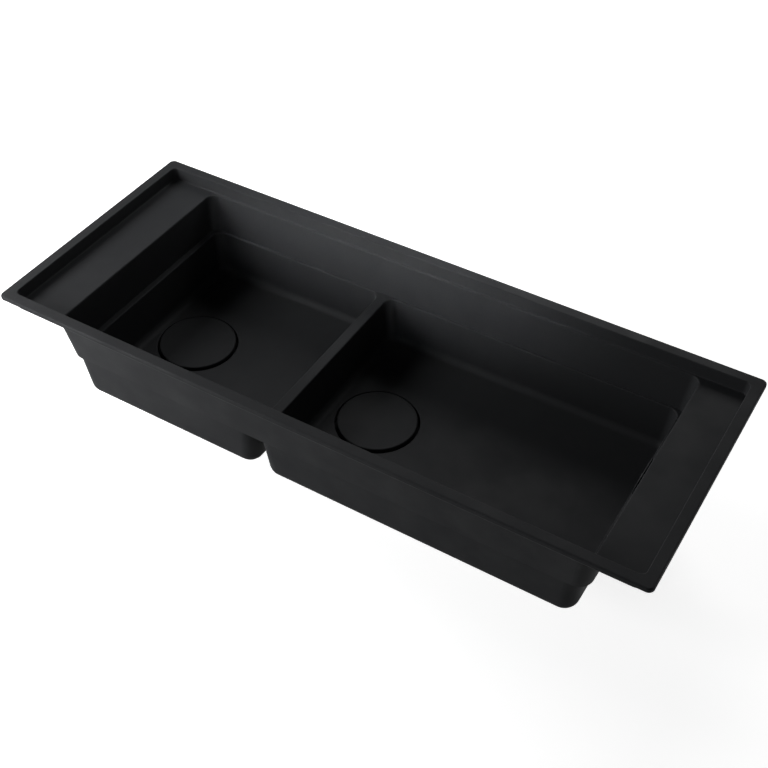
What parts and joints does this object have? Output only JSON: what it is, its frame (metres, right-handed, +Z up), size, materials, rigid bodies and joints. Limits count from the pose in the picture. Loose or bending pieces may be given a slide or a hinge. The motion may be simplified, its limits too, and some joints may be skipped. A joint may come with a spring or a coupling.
{
  "type": "double bowl kitchen sink",
  "caption": "Inset double bowl kitchen sink in black composite, with a wide rim recess, end shelves, a low divider and flush round drain covers over strainer wastes.",
  "frame": {"origin": "middle of the worktop cut-out, in the plane of the flange's underside", "axes": "+X along the sink from the small bowl to the large one, +Y to the back, +Z up"},
  "size_m": [1.2, 0.48, 0.289],
  "materials": {
    "composite": "matt moulded granite composite, black, with a very fine grain",
    "stainless": "brushed stainless steel",
    "screw_steel": "plain stainless steel",
    "zinc_steel": "bright zinc-plated sheet steel",
    "brass": "turned brass",
    "rubber": "soft black rubber",
    "foam": "closed-cell foam tape, dark grey",
    "dark_cover": "steel coated in the sink's colour, satin",
    "waste_plastic": "moulded polypropylene, off-white, satin"
  },
  "bodies": {
    "basin": {"sink_basin": "composite", "waste_flange_small": "stainless", "flange_seal_small": "rubber", "body_seal_small": "rubber", "waste_body_small": "waste_plastic", "centre_screw_small": "screw_steel", "waste_flange_large": "stainless", "flange_seal_large": "rubber", "body_seal_large": "rubber", "waste_body_large": "waste_plastic", "centre_screw_large": "screw_steel", "overflow_cover": "dark_cover", "overflow_screw": "dark_cover", "overflow_seal": "rubber", "overflow_elbow": "waste_plastic", "rim_seal": "foam", "clip_inserts": "brass"},
    "cover_small": {"drain_cover_small": "composite", "cover_pads_small": "rubber"},
    "cover_large": {"drain_cover_large": "composite", "cover_pads_large": "rubber"},
    "basket_small": {"strainer_basket_small": "stainless", "basket_knob_small": "stainless", "basket_seal_small": "rubber"},
    "basket_large": {"strainer_basket_large": "stainless", "basket_knob_large": "stainless", "basket_seal_large": "rubber"},
    "bolt_1": {"clip_bolt_1": "screw_steel"},
    "clip_1": {"fixing_clip_1": "zinc_steel"},
    "bolt_2": {"clip_bolt_2": "screw_steel"},
    "clip_2": {"fixing_clip_2": "zinc_steel"},
    "bolt_3": {"clip_bolt_3": "screw_steel"},
    "clip_3": {"fixing_clip_3": "zinc_steel"},
    "bolt_4": {"clip_bolt_4": "screw_steel"},
    "clip_4": {"fixing_clip_4": "zinc_steel"}
  },
  "joints": [
    {"name": "cover_lift_small", "type": "slide", "parent": "basin", "child": "cover_small", "axis": [0, 0, 1], "range_m": [0, 0.2]},
    {"name": "cover_lift_large", "type": "slide", "parent": "basin", "child": "cover_large", "axis": [0, 0, 1], "range_m": [0, 0.2]},
    {"name": "basket_lift_small", "type": "slide", "parent": "basin", "child": "basket_small", "axis": [0, 0, 1], "range_m": [0, 0.01]},
    {"name": "basket_lift_large", "type": "slide", "parent": "basin", "child": "basket_large", "axis": [0, 0, 1], "range_m": [0, 0.01]},
    {"name": "clip_bolt_turn_in_1", "type": "slide", "parent": "basin", "child": "bolt_1", "axis": [0, 0, 1], "range_m": [0, 0.008]},
    {"name": "clip_swing_1", "type": "hinge", "parent": "bolt_1", "child": "clip_1", "pos_m": [-0.566, -0.15, -0.0545], "axis": [0, 0, 1], "range_deg": [0, 90]},
    {"name": "clip_bolt_turn_in_2", "type": "slide", "parent": "basin", "child": "bolt_2", "axis": [0, 0, 1], "range_m": [0, 0.008]},
    {"name": "clip_swing_2", "type": "hinge", "parent": "bolt_2", "child": "clip_2", "pos_m": [-0.566, 0.15, -0.0545], "axis": [0, 0, -1], "range_deg": [0, 90]},
    {"name": "clip_bolt_turn_in_3", "type": "slide", "parent": "basin", "child": "bolt_3", "axis": [0, 0, 1], "range_m": [0, 0.008]},
    {"name": "clip_swing_3", "type": "hinge", "parent": "bolt_3", "child": "clip_3", "pos_m": [0.566, -0.15, -0.0545], "axis": [0, 0, -1], "range_deg": [0, 90]},
    {"name": "clip_bolt_turn_in_4", "type": "slide", "parent": "basin", "child": "bolt_4", "axis": [0, 0, 1], "range_m": [0, 0.008]},
    {"name": "clip_swing_4", "type": "hinge", "parent": "bolt_4", "child": "clip_4", "pos_m": [0.566, 0.15, -0.0545], "axis": [0, 0, 1], "range_deg": [0, 90]}
  ]
}
